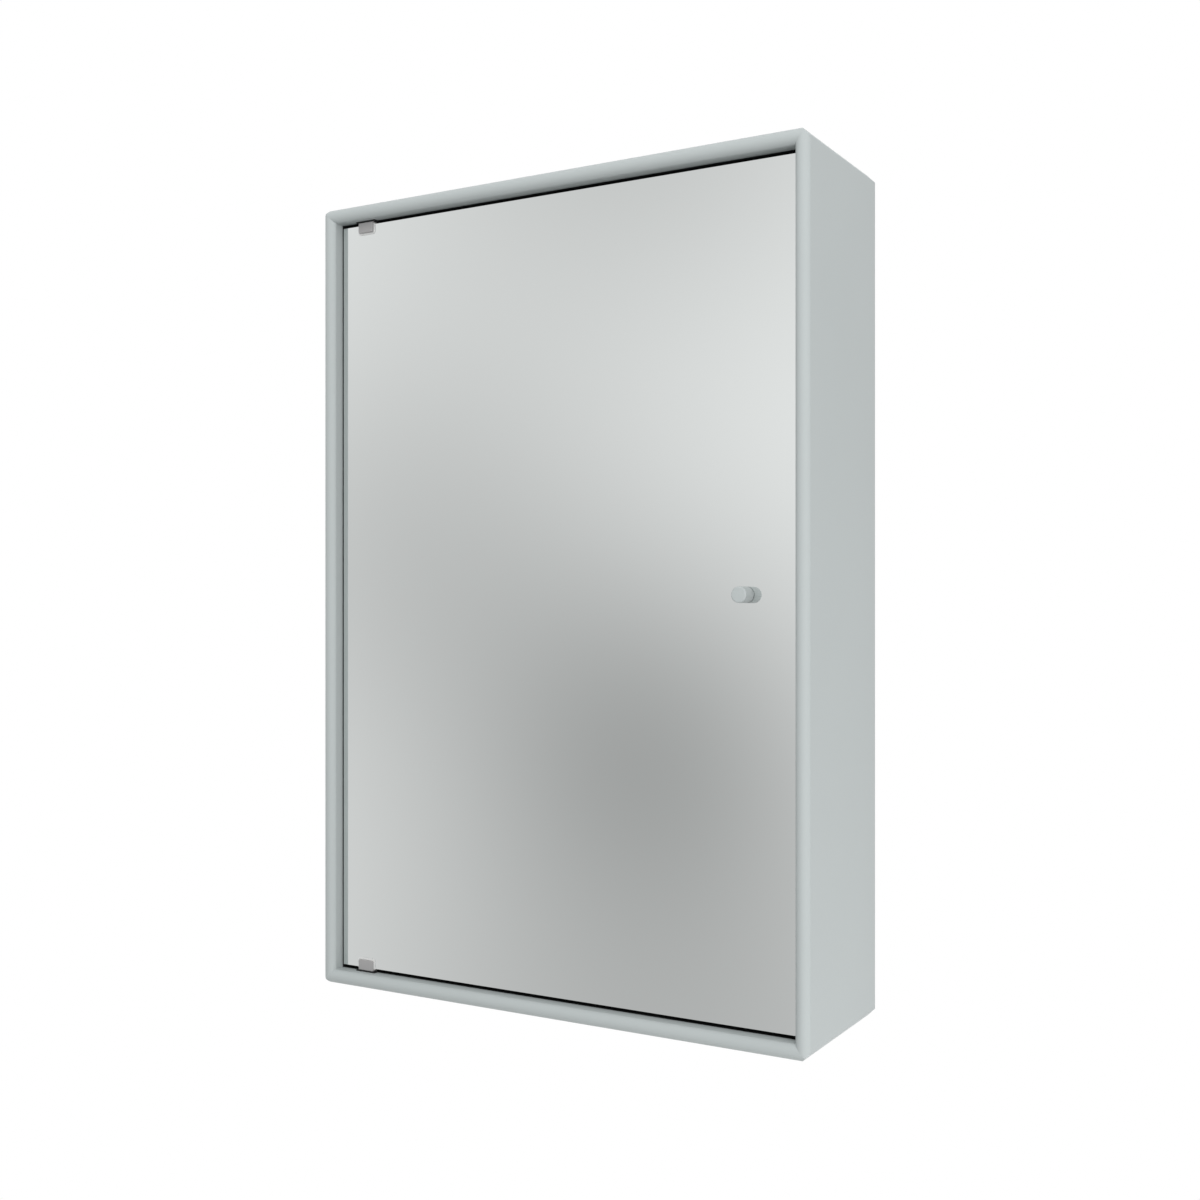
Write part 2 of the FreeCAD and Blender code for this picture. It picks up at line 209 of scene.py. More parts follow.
def per_metre(size_mm):
    """Texture scale that gives features of a real size."""
    return 1.0 / (size_mm * MM)


def start_finish(name):
    """Material with its tree, its shader and object coordinates."""
    material = bpy.data.materials.new(name)
    material.use_nodes = True
    tree = material.node_tree
    place = add(tree, "ShaderNodeTexCoord").outputs["Object"]
    return material, tree, tree.nodes["Principled BSDF"], place


def vary(tree, shader, hex_colour, roughness, tint_by, relief_by, levels, swing, strength, depth):
    """Let one pattern vary a shader's colour, and one its gloss and its relief."""
    dark, light = (linear(hex_colour, level) for level in levels)
    tint = add(tree, "ShaderNodeMix", {0: tint_by, 6: dark, 7: light}, data_type="RGBA")
    gloss = add(tree, "ShaderNodeMapRange", {
        "Value": relief_by, "To Min": roughness - swing, "To Max": roughness + swing})
    bump = add(tree, "ShaderNodeBump", {"Height": relief_by, "Strength": strength, "Distance": depth})
    tree.links.new(tint.outputs[2], shader.inputs["Base Color"])
    tree.links.new(gloss.outputs["Result"], shader.inputs["Roughness"])
    tree.links.new(bump.outputs["Normal"], shader.inputs["Normal"])


def sprayed_lacquer(name, hex_colour, roughness):
    """Satin lacquer sprayed on MDF: an even colour, faintly clouded, with orange peel in its gloss."""
    material, tree, shader, place = start_finish(name)
    peel = add(tree, "ShaderNodeTexNoise", {
        "Vector": place, "Scale": per_metre(ORANGE_PEEL_MM), "Detail": 2.0}).outputs["Fac"]
    cloud = add(tree, "ShaderNodeTexNoise", {
        "Vector": place, "Scale": per_metre(CLOUDING_MM), "Detail": 3.0}).outputs["Fac"]
    vary(tree, shader, hex_colour, roughness, cloud, peel, **LACQUER_VARIES)
    return material


def silvered_glass():
    """Silver behind float glass: a clear image, with a trace of the rollers' long ripple."""
    material, tree, shader, place = start_finish("silvered_float_glass")
    ripple = add(tree, "ShaderNodeTexNoise", {
        "Vector": place, "Scale": per_metre(ROLLER_RIPPLE_MM), "Detail": 2.0})
    gloss = add(tree, "ShaderNodeMapRange", {
        "Value": ripple.outputs["Fac"], "To Min": 0.0, "To Max": RIPPLE_DULL})
    tree.links.new(gloss.outputs["Result"], shader.inputs["Roughness"])
    shader.inputs["Base Color"].default_value = linear("#ECEFEE")
    shader.inputs["Metallic"].default_value = 1.0
    return material


def float_glass(name, hex_colour, dull, clear):
    """Float glass: nearly clear through its faces, green at the edges, where its depth is seen."""
    material, tree, shader, place = start_finish(name)
    polish = add(tree, "ShaderNodeTexNoise", {
        "Vector": place, "Scale": per_metre(POLISH_MM), "Detail": 2.0})
    gloss = add(tree, "ShaderNodeMapRange", {
        "Value": polish.outputs["Fac"], "To Min": 0.0, "To Max": dull})
    tree.links.new(gloss.outputs["Result"], shader.inputs["Roughness"])
    shader.inputs["Base Color"].default_value = linear(hex_colour)
    shader.inputs["Transmission Weight"].default_value = clear
    shader.inputs["IOR"].default_value = GLASS_IOR
    return material


def grained_metal(name, hex_colour, roughness, grain_mm, metallic=1.0):
    """Turned, ground or plated metal: a fine grain breaks the reflection into a soft sheen.

    The real grain is finer than a pixel, so it is drawn as coarse as it needs to show.
    """
    material, tree, shader, place = start_finish(name)
    grain = add(tree, "ShaderNodeTexNoise", {
        "Vector": place, "Scale": per_metre(grain_mm), "Detail": 4.0}).outputs["Fac"]
    vary(tree, shader, hex_colour, roughness, grain, grain, **METAL_VARIES)
    shader.inputs["Metallic"].default_value = metallic
    return material


def moulded(name, hex_colour, roughness, grain_mm):
    """Moulded plastic, rubber or foam, or a coat of paint: fine pits dull an even colour.

    The real pits are finer than a pixel, so they are drawn as coarse as they need to show.
    """
    material, tree, shader, place = start_finish(name)
    pits = add(tree, "ShaderNodeTexVoronoi", {
        "Vector": place, "Scale": per_metre(grain_mm)}).outputs["Distance"]
    vary(tree, shader, hex_colour, roughness, pits, pits, **MOULDED_VARIES)
    return material


def beech_wood():
    """Beech rod: short darker flecks on a straw ground, dull from the lathe."""
    material, tree, shader, place = start_finish("turned_beech")
    flecks = add(tree, "ShaderNodeTexNoise", {
        "Vector": place, "Scale": per_metre(FLECK_MM), "Detail": 3.0})
    tint = add(tree, "ShaderNodeMix", {
        0: flecks.outputs["Fac"], 6: linear("#A9855F"), 7: linear("#D8B890")}, data_type="RGBA")
    tree.links.new(tint.outputs[2], shader.inputs["Base Color"])
    shader.inputs["Roughness"].default_value = 0.7
    return material


# Satin lacquer sprayed on the boards, back and knob: a cool pale grey with a soft, even sheen
lacquer = sprayed_lacquer("sprayed_satin_lacquer", "#BBC3C3", 0.45)
# Silver behind the mirror's float glass: a clear, faintly grey image of the room
silver = silvered_glass()
# The mirror's ground edge: dull green, because the light comes through the depth of the glass
cut_edge = float_glass("ground_glass_edge", "#6E9C8D", 0.25, 0.5)
# The shelves' float glass: hardly seen but for its reflections
clear_glass = float_glass("clear_float_glass", "#F3FAF7", 0.02, 1.0)
# The shelves' polished edges: a brighter green line than the ground edge
polished_edge = float_glass("polished_glass_edge", "#7FB3A1", 0.1, 0.5)
# Zinc die casting under a grey coat, on the clamps: half dull, with no metal shine
die_cast = moulded("grey_coated_die_casting", "#A9A9A9", 0.42, 0.5)
# Zinc plate on steel, for screws, washers and the strike plate: bluish grey, softly bright
zinc_plate = grained_metal("zinc_plated_steel", "#C6CACD", 0.34, 0.4)
# Nickel plate on steel, on the shelf supports: a little warm and brighter than zinc
nickel_plate = grained_metal("nickel_plated_steel", "#CFCBC2", 0.22, 0.7)
# Steel from the lathe, for pins and set screws: a neutral grey with a narrow sheen
turned_steel = grained_metal("turned_steel", "#B4B6B8", 0.3, 0.3)
# Sintered ferrite ground flat, in the catch: near black with a weak glint
ferrite = grained_metal("ground_ferrite", "#3B3B3D", 0.5, 0.3, 0.3)
# Nylon moulded black, for the bushes: half dull, and dark enough to sink into the gap
nylon = moulded("black_moulded_nylon", "#161617", 0.5, 0.35)
# ABS moulded grey, for the catch and the knob's grommet: an even, half dull grey
grey_abs = moulded("grey_moulded_abs", "#B7BFBE", 0.5, 0.4)
# Silicone rubber cut from sheet, between clamp and glass: a pale border with little shine
liner = moulded("pale_silicone", "#ECEEED", 0.45, 0.5)
# Painted shade: matt black on the boards' inner faces behind the mirror, where the gap falls into
# shade, with no shine, so that the gap reads as a dark line
gap_shade_black = moulded("matt_black_paint", "#101011", 0.85, 0.4)
# Plastic film on the mirror's back: a flat grey with a faint texture
backing_film = moulded("mirror_backing_film", "#B5BAB9", 0.5, 1.5)
# Foam tape under the strike plate: dark grey and quite dull
foam_tape = moulded("foam_tape", "#3C3C3C", 0.9, 0.6)
# Beech rod in the mitres: straw brown with short flecks
beech = beech_wood()


def show(mesh, name, body, slot, *nodes):
    """Hang a finished mesh on its body, in the place of CAD nodes."""
    piece = bpy.data.objects.new(name, mesh)
    bpy.context.collection.objects.link(piece)
    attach(piece, body)
    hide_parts(*nodes)


def scratch_object(mesh):
    """Object that carries a mesh until it is settled or staged."""
    piece = bpy.data.objects.new(mesh.name, mesh)
    bpy.context.collection.objects.link(piece)
    return piece


def settled(piece, name):
    """Plain mesh of an object with its modifiers applied; the object goes away."""
    graph = bpy.context.evaluated_depsgraph_get()
    mesh = bpy.data.meshes.new_from_object(piece.evaluated_get(graph))
    mesh.name = name
    bpy.data.objects.remove(piece)
    return mesh


def ease(piece, width, steps, by_weight=False):
    """Round over the sharp or the marked edges of an object."""
    bevel = piece.modifiers.new("eased", "BEVEL")
    bevel.limit_method = "WEIGHT" if by_weight else "ANGLE"
    bevel.angle_limit = math.radians(SHARP_DEG)
    bevel.width = width
    bevel.segments = steps
    bevel.material = 0


def point_mesh(name, places, turns):
    """Loose points, each with the turn of what is set on it."""
    mesh = bpy.data.meshes.new(name)
    mesh.from_pydata([tuple(place) for place in places], [], [])
    layer = mesh.attributes.new("turn", "FLOAT", "POINT")
    for item, turn in zip(layer.data, turns):
        item.value = turn
    return mesh


def new_tree(name, **inputs):
    """Geometry tree with its named inputs, and the node that gives them."""
    tree = bpy.data.node_groups.new(name, "GeometryNodeTree")
    tree.interface.new_socket("Geometry", in_out="INPUT", socket_type="NodeSocketGeometry")
    for label, kind in inputs.items():
        label = label.replace("_", " ")
        tree.interface.new_socket(label, in_out="INPUT", socket_type="NodeSocket" + kind)
    tree.interface.new_socket("Geometry", in_out="OUTPUT", socket_type="NodeSocketGeometry")
    return tree, add(tree, "NodeGroupInput").outputs


def grown(tree, base, **values):
    """Object that carries a geometry tree with its inputs set."""
    piece = scratch_object(base)
    growth = piece.modifiers.new(tree.name, "NODES")
    growth.node_group = tree
    for item in tree.interface.items_tree:
        key = item.name.replace(" ", "_")
        if item.in_out == "INPUT" and key in values:
            growth[item.identifier] = values[key]
    return piece


def end_tree(tree, geometry, finish, only=None):
    """Real geometry in a finish, on all faces or only on some, as a tree's last nodes give it."""
    real = add(tree, "GeometryNodeRealizeInstances", {"Geometry": geometry})
    coat = add(tree, "GeometryNodeSetMaterial", {"Geometry": real.outputs[0], "Material": finish})
    if only is not None:
        tree.links.new(only, coat.inputs["Selection"])
    return coat.outputs[0]


def upright_faces(tree):
    """Selection of the faces that stand upright on XY."""
    facing = add(tree, "ShaderNodeSeparateXYZ", {0: add(tree, "GeometryNodeInputNormal").outputs[0]})
    slope = add(tree, "ShaderNodeMath", {0: facing.outputs["Z"]}, operation="ABSOLUTE")
    upright = add(tree, "FunctionNodeCompare", {"A": slope.outputs[0], "B": 0.5}, operation="LESS_THAN")
    return upright.outputs[0]


def pane_tree():
    """Flat pane in XY with rounded corners, its edges in a finish of their own."""
    tree, given = new_tree(
        "glass_pane", Width="Float", Height="Float", Thickness="Float", Corner_Round="Float",
        Face_Finish="Material", Edge_Finish="Material")
    outline = add(tree, "GeometryNodeCurvePrimitiveQuadrilateral", {
        "Width": given["Width"], "Height": given["Height"]})
    rounded = add(tree, "GeometryNodeFilletCurve", {
        "Curve": outline.outputs[0], "Count": PANE_ROUND_STEPS, "Radius": given["Corner Round"]},
        mode="POLY")
    floor = add(tree, "GeometryNodeFillCurve", {"Curve": rounded.outputs[0]}, mode="NGONS")
    rise = add(tree, "ShaderNodeCombineXYZ", {"Z": given["Thickness"]})
    raised = add(tree, "GeometryNodeExtrudeMesh", {
        "Mesh": floor.outputs[0], "Offset": rise.outputs[0], "Offset Scale": 1.0, "Individual": False})
    under = add(tree, "GeometryNodeFlipFaces", {"Mesh": floor.outputs[0]})
    both = add(tree, "GeometryNodeJoinGeometry", {"Geometry": [raised.outputs[0], under.outputs[0]]})
    closed = add(tree, "GeometryNodeMergeByDistance", {"Geometry": both.outputs[0], "Distance": WELD})
    faced = end_tree(tree, closed.outputs[0], given["Face Finish"])
    edged = add(tree, "GeometryNodeSetMaterial", {
        "Geometry": faced, "Selection": upright_faces(tree), "Material": given["Edge Finish"]})
    add(tree, "NodeGroupOutput", {0: edged.outputs[0]})
    return tree


def pane_hole_tree():
    """Round hole through a pane in XY, its wall in the finish of the cut edge."""
    tree, given = new_tree("pane_hole", Hole="Float", Hole_X="Float", Edge_Finish="Material")
    radius = add(tree, "ShaderNodeMath", {0: given["Hole"], 1: 0.5}, operation="MULTIPLY")
    drill = add(tree, "GeometryNodeMeshCylinder", {
        "Vertices": MIRROR_HOLE_SIDES, "Radius": radius.outputs[0], "Depth": DRILL_LENGTH})
    place = add(tree, "ShaderNodeCombineXYZ", {"X": given["Hole X"]})
    drill = add(tree, "GeometryNodeTransform", {
        "Geometry": drill.outputs[0], "Translation": place.outputs[0]})
    drill = end_tree(tree, drill.outputs[0], given["Edge Finish"])
    cut = add(tree, "GeometryNodeMeshBoolean", {
        0: given["Geometry"], 1: drill}, operation="DIFFERENCE")
    edged = end_tree(tree, cut.outputs[0], given["Edge Finish"], upright_faces(tree))
    add(tree, "NodeGroupOutput", {0: edged})
    return tree


def set_out(tree, given, shape):
    """End a tree with a copy of a shape on each point, turned as the point says."""
    turn = add(tree, "GeometryNodeInputNamedAttribute", {"Name": "turn"}, data_type="FLOAT")
    twist = add(tree, "ShaderNodeCombineXYZ", {"Z": turn.outputs[0]})
    twist = add(tree, "FunctionNodeEulerToRotation", {0: twist.outputs[0]})
    placed = add(tree, "GeometryNodeInstanceOnPoints", {
        "Points": given["Geometry"], "Instance": shape, "Rotation": twist.outputs[0]})
    add(tree, "NodeGroupOutput", {0: end_tree(tree, placed.outputs[0], given["Finish"])})


def screw_tree():
    """Screws on points: a turned blank, heads towards +Z, with a slot sawn across."""
    tree, given = new_tree(
        "slotted_screws", Blank="Object", Slot_Width="Float", Slot_Depth="Float", Saw_Length="Float",
        Finish="Material")
    blank = add(tree, "GeometryNodeObjectInfo", {"Object": given["Blank"]})
    twice = add(tree, "ShaderNodeMath", {0: given["Slot Depth"], 1: 2.0}, operation="MULTIPLY")
    size = add(tree, "ShaderNodeCombineXYZ", {
        "X": given["Saw Length"], "Y": given["Slot Width"], "Z": twice.outputs[0]})
    saw = add(tree, "GeometryNodeMeshCube", {"Size": size.outputs[0]})
    slotted = add(tree, "GeometryNodeMeshBoolean", {
        0: blank.outputs["Geometry"], 1: saw.outputs[0]}, operation="DIFFERENCE")
    set_out(tree, given, slotted.outputs[0])
    return tree


def washer_tree():
    """Stamped rings with rounded edges on points, flat in XY."""
    tree, given = new_tree(
        "stamped_washers", Across="Float", Hole="Float", Thickness="Float", Edge_Round="Float",
        Finish="Material")
    band = add(tree, "ShaderNodeMath", {0: given["Across"], 1: given["Hole"]}, operation="SUBTRACT")
    band = add(tree, "ShaderNodeMath", {0: band.outputs[0], 1: 0.5}, operation="MULTIPLY")
    middle = add(tree, "ShaderNodeMath", {0: given["Across"], 1: given["Hole"]}, operation="ADD")
    middle = add(tree, "ShaderNodeMath", {0: middle.outputs[0], 1: 0.25}, operation="MULTIPLY")
    section = add(tree, "GeometryNodeCurvePrimitiveQuadrilateral", {
        "Width": band.outputs[0], "Height": given["Thickness"]})
    section = add(tree, "GeometryNodeFilletCurve", {
        "Curve": section.outputs[0], "Count": WASHER_ROUND_STEPS, "Radius": given["Edge Round"]},
        mode="POLY")
    path = add(tree, "GeometryNodeCurvePrimitiveCircle", {
        "Resolution": WASHER_SIDES, "Radius": middle.outputs[0]})
    ring = add(tree, "GeometryNodeCurveToMesh", {
        "Curve": path.outputs[0], "Profile Curve": section.outputs[0]})
    set_out(tree, given, ring.outputs[0])
    return tree


def support_tree():
    """Shelf supports on points: a turned pin and a flat tongue made one."""
    tree, given = new_tree("shelf_supports", Pin="Object", Tongue="Object", Finish="Material")
    pin, tongue = (add(tree, "GeometryNodeObjectInfo", {"Object": given[label]}).outputs["Geometry"]
                   for label in ("Pin", "Tongue"))
    whole = add(tree, "GeometryNodeMeshBoolean", {1: [pin, tongue]}, operation="UNION")
    set_out(tree, given, whole.outputs[0])
    return tree


def drilled_tree():
    """Rows of blind holes into a side panel's inner face, three heights round each shelf."""
    tree, given = new_tree(
        "support_hole_rows", Hole="Float", Depth="Float", Face_X="Float", Row_Middle="Float",
        Row_Spread="Float", Pitch="Float", Lower="Float", Upper="Float", Finish="Material")
    radius = add(tree, "ShaderNodeMath", {0: given["Hole"], 1: 0.5}, operation="MULTIPLY")
    length = add(tree, "ShaderNodeMath", {0: given["Depth"], 1: 2.0}, operation="MULTIPLY")
    drill = add(tree, "GeometryNodeMeshCylinder", {
        "Vertices": SUPPORT_HOLE_SIDES, "Radius": radius.outputs[0], "Depth": length.outputs[0]})
    run = add(tree, "ShaderNodeMath", {0: given["Pitch"], 1: 2.0}, operation="MULTIPLY")
    grid = add(tree, "GeometryNodeMeshGrid", {
        "Size X": run.outputs[0], "Size Y": given["Row Spread"], "Vertices X": 3, "Vertices Y": 2})
    drills = add(tree, "GeometryNodeInstanceOnPoints", {
        "Points": grid.outputs[0], "Instance": drill.outputs[0]})
    groups = []
    for label in ("Lower", "Upper"):
        place = add(tree, "ShaderNodeCombineXYZ", {
            "X": given["Face X"], "Y": given["Row Middle"], "Z": given[label]})
        group = add(tree, "GeometryNodeTransform", {
            "Geometry": drills.outputs[0], "Translation": place.outputs[0],
            "Rotation": (0.0, math.radians(90), 0.0)})
        groups.append(group.outputs[0])
    groups = add(tree, "GeometryNodeJoinGeometry", {0: groups})
    drills = end_tree(tree, groups.outputs[0], given["Finish"])
    cut = add(tree, "GeometryNodeMeshBoolean", {
        0: given["Geometry"], 1: drills}, operation="DIFFERENCE")
    index = add(tree, "GeometryNodeInputMaterialIndex")
    plain = add(tree, "FunctionNodeCompare", {"A": index.outputs[0], "B": 0.5}, operation="LESS_THAN")
    coated = end_tree(tree, cut.outputs[0], given["Finish"], plain.outputs[0])
    add(tree, "NodeGroupOutput", {0: coated})
    return tree


def finished_mesh(bm, name, *finishes):
    """Mesh of a bmesh, shaded smooth, with its finishes."""
    for face in bm.faces:
        face.smooth = True
    mesh = bpy.data.meshes.new(name)
    bm.to_mesh(mesh)
    bm.free()
    for finish in finishes:
        mesh.materials.append(finish)
    return mesh


def board_section(shade_setback):
    """Section of a board in (distance from its outer face, depth), from the wall round the nose."""
    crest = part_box("top_panel")[0][1]
    arris = crest + NOSE_RISE
    half = BOARD / 2
    radius = (half * half + NOSE_RISE * NOSE_RISE) / (2 * NOSE_RISE)
    swing = math.asin(half / radius)
    turns = [swing * (2 * i / NOSE_STEPS - 1) for i in range(1, NOSE_STEPS)]
    turns.append(math.asin((CORNER_CUT / 2 - half) / radius))
    nose = [(half + radius * math.sin(t), crest + radius * (1 - math.cos(t))) for t in sorted(turns)]
    lap = BOARD - REBATE
    # The black band of painted shade begins here, a little behind the mirror's face
    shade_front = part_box("mirror_glass")[0][1] + shade_setback
    inner_face = [(BOARD, y) for y in (arris, shade_front, shade_front + SHADE_BAND, -REBATE)]
    back = [(lap, -REBATE), (lap, 0.0), (CORNER_CUT / 2, 0.0)]
    return [(0.0, 0.0), (0.0, arris)] + nose + inner_face + back


def board_mesh(name, run, shade_setback):
    """Mitred board with its outer face up at z = 0 and its length along X, with a black band of painted
    shade on its inner face.
    """
    bm = bmesh.new()
    section = board_section(shade_setback)
    ends = []
    for side in (-1, 1):
        reaches = [run / 2 - max(across, CORNER_CUT - across) for across, _ in section]
        ends.append([bm.verts.new((side * x, y, -across)) for x, (across, y) in zip(reaches, section)])
    left, right = ends
    count = len(section)
    # The painted shade, a black band, is the second strip of the inner face, which starts at the arris
    arris_in = next(i for i, (across, _) in enumerate(section) if across == BOARD)
    for i in range(count):
        j = (i + 1) % count
        face = bm.faces.new((left[i], left[j], right[j], right[i]))
        face.material_index = 1 if i == arris_in + 1 else 0
    # Each end has two faces, the mitre and the cut along the outer corner, which meet at these points
    first, last = [i for i, (across, _) in enumerate(section) if abs(across - CORNER_CUT / 2) < WELD]
    for loop in ends:
        bm.faces.new(loop[first:last + 1])
        bm.faces.new(loop[last:] + loop[:first + 1])
    bmesh.ops.recalc_face_normals(bm, faces=bm.faces)
    weight = bm.edges.layers.float.new("bevel_weight_edge")
    for i in (0, 1, arris_in):
        bm.edges.get((left[i], right[i]))[weight] = 1.0
    for loop in ends:
        bm.edges.get((loop[0], loop[1]))[weight] = 1.0
    return finished_mesh(bm, name, lacquer, gap_shade_black)


def support_rows():
    """Depths of the two rows of supports, in from the shelf's front and back edges."""
    low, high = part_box("lower_shelf")
    return low[1] + SUPPORT_INSET, high[1] - SUPPORT_INSET


def make_boards():
    """Two lengths of board turned into the four sides of the carcass."""
    low, high = cad_box
    width = high[0] - low[0]
    height = high[2] - low[2]
    drilled = drilled_tree()
    inner = high[0] - BOARD
    front_row, back_row = support_rows()
    lower, upper = (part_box(node)[0][2] - TONGUE_THICK / 2 for node in SHELVES)
    # Each board's band of painted shade starts at its own depth behind the mirror
    places = {
        "top_panel": (width, RAIL_SHADE_SETBACK, 0, (0, 0, high[2])),
        "bottom_panel": (width, RAIL_SHADE_SETBACK, 180, (0, 0, low[2])),
        "left_side_panel": (height, SIDE_SHADE_SETBACK, -90, (low[0], 0, 0)),
        "right_side_panel": (height, SIDE_SHADE_SETBACK, 90, (high[0], 0, 0)),
    }
    for name, (run, shade_setback, turn, place) in places.items():
        piece = scratch_object(board_mesh(name, run, shade_setback))
        ease(piece, EASED, EASED_STEPS, by_weight=True)
        mesh = settled(piece, name + "_board")
        mesh.transform(Matrix.Translation(place) @ Matrix.Rotation(math.radians(turn), 4, "Y"))
        if "side" in name:
            mesh = settled(grown(
                drilled, mesh, Hole=SUPPORT_HOLE, Depth=SUPPORT_DEPTH,
                Face_X=math.copysign(inner, place[0]), Row_Middle=(front_row + back_row) / 2,
                Row_Spread=back_row - front_row, Pitch=SUPPORT_PITCH, Lower=lower, Upper=upper,
                Finish=lacquer), name + "_board")
        mesh.set_sharp_from_angle(angle=math.radians(CRISP_DEG))
        show(mesh, name + "_board", "carcass", "lacquer", name)


def make_panes():
    """Mirror pane and the two shelves from one rule."""
    tree = pane_tree()
    low, high = (Vector(corner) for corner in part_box("mirror_glass"))
    size = high - low
    piece = grown(
        tree, bpy.data.meshes.new("pane"), Width=size.x, Height=size.z, Thickness=size.y,
        Corner_Round=0.0, Face_Finish=silver, Edge_Finish=cut_edge)
    ease(piece, MIRROR_ARRIS, MIRROR_ARRIS_STEPS)
    mesh = settled(piece, "mirror_pane")
    knob_low, knob_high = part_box("door_knob")
    knob_x = (knob_low[0] + knob_high[0]) / 2
    mesh = settled(grown(
        pane_hole_tree(), mesh, Hole=MIRROR_HOLE, Hole_X=knob_x, Edge_Finish=cut_edge), "mirror_pane")
    mesh.transform(Matrix.Translation((0, low.y, 0)) @ Matrix.Rotation(math.radians(90), 4, "X")
                   @ Matrix.Scale(-1, 4, (0, 0, 1)))
    mesh.flip_normals()
    show(mesh, "mirror_pane", "door", "mirror", "mirror_glass")
    for node in SHELVES:
        low, high = (Vector(corner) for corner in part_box(node))
        size = high - low
        piece = grown(
            tree, bpy.data.meshes.new("pane"), Width=size.x, Height=size.y, Thickness=size.z,
            Corner_Round=SHELF_ROUND, Face_Finish=clear_glass, Edge_Finish=polished_edge)
        ease(piece, SHELF_ARRIS, SHELF_ARRIS_STEPS)
        mesh = settled(piece, node + "_pane")
        mesh.transform(Matrix.Translation(((low.x + high.x) / 2, (low.y + high.y) / 2, low.z)))
        show(mesh, node + "_pane", "carcass", "shelf_glass", node)


def turned(name, section):
    """Mesh turned round Z from (radius, height) points that start and end on the axis."""
    bm = bmesh.new()
    turns = [math.tau * i / TURNED_SIDES for i in range(TURNED_SIDES)]
    rings = []
    for radius, height in section:
        if radius:
            rings.append([
                bm.verts.new((radius * math.cos(t), radius * math.sin(t), height)) for t in turns])
        else:
            rings.append([bm.verts.new((0, 0, height))] * TURNED_SIDES)
    for upper, lower in zip(rings, rings[1:]):
        for i in range(TURNED_SIDES):
            # A ring on the axis is one point, so the faces round it have three corners
            corners = dict.fromkeys((upper[i - 1], upper[i], lower[i], lower[i - 1]))
            bm.faces.new(tuple(corners))
    bmesh.ops.recalc_face_normals(bm, faces=bm.faces)
    return finished_mesh(bm, name)


def eased_block(name, low, high, round_over, steps):
    """Block between two corners with rounded edges."""
    low, high = Vector(low), Vector(high)
    bm = bmesh.new()
    place = Matrix.Translation((low + high) / 2) @ Matrix.Diagonal((high - low).to_4d())
    bmesh.ops.create_cube(bm, size=1.0, matrix=place)
    bmesh.ops.bevel(
        bm, geom=bm.edges[:], offset=round_over, segments=steps, profile=0.5, affect="EDGES")
    bmesh.ops.recalc_face_normals(bm, faces=bm.faces)
    return finished_mesh(bm, name)


def on_points(tree, name, places, turns, shapes, **values):
    """Mesh of a tree's copies on points; the shapes that it copies go away."""
    givers = {label: scratch_object(mesh) for label, mesh in shapes.items()}
    mesh = settled(grown(tree, point_mesh(name, places, turns), **givers, **values), name)
    for giver in givers.values():
        bpy.data.objects.remove(giver)
    mesh.set_sharp_from_angle(angle=math.radians(CREASE_DEG))
    return mesh


def make_supports():
    """Nickel supports: a turned pin in the board and a flat tongue under the shelf."""
    inner = cad_box[1][0] - BOARD
    places = []
    turns = []
    for node in SHELVES:
        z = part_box(node)[0][2] - TONGUE_THICK / 2
        for y in support_rows():
            places += [(inner, y, z), (-inner, y, z)]
            turns += [0.0, math.pi]
    shank = (SUPPORT_HOLE - SUPPORT_FIT) / 2
    collar = COLLAR / 2
    pin = turned("pin", [
        (0, SUPPORT_DEPTH), (shank - SUPPORT_CHAMFER, SUPPORT_DEPTH),
        (shank, SUPPORT_DEPTH - SUPPORT_CHAMFER), (shank, 0),
        (collar, 0), (collar, SUPPORT_CHAMFER - COLLAR_THICK),
        (collar - SUPPORT_CHAMFER, -COLLAR_THICK), (0, -COLLAR_THICK)])
    pin.transform(Matrix.Rotation(math.radians(90), 4, "Y"))
    tongue = eased_block(
        "tongue", (-COLLAR_THICK - TONGUE_LENGTH, -TONGUE_WIDTH / 2, -TONGUE_THICK / 2),
        (-COLLAR_THICK / 2, TONGUE_WIDTH / 2, TONGUE_THICK / 2), TONGUE_ROUND, TONGUE_ROUND_STEPS)
    mesh = on_points(support_tree(), "nickel_supports", places, turns, {"Pin": pin, "Tongue": tongue},
                     Finish=nickel_plate)
    show(mesh, "nickel_supports", "carcass", "nickel", "shelf_supports")


def screw_blank(length):
    """Turned countersunk screw without its slot, head at z = 0."""
    return turned("screw_blank", [
        (0, 0), (SCREW_HEAD / 2, 0), (SCREW_SHANK / 2, -SCREW_HEAD_DEPTH),
        (SCREW_SHANK / 2, SCREW_POINT - length), (0, -length)])


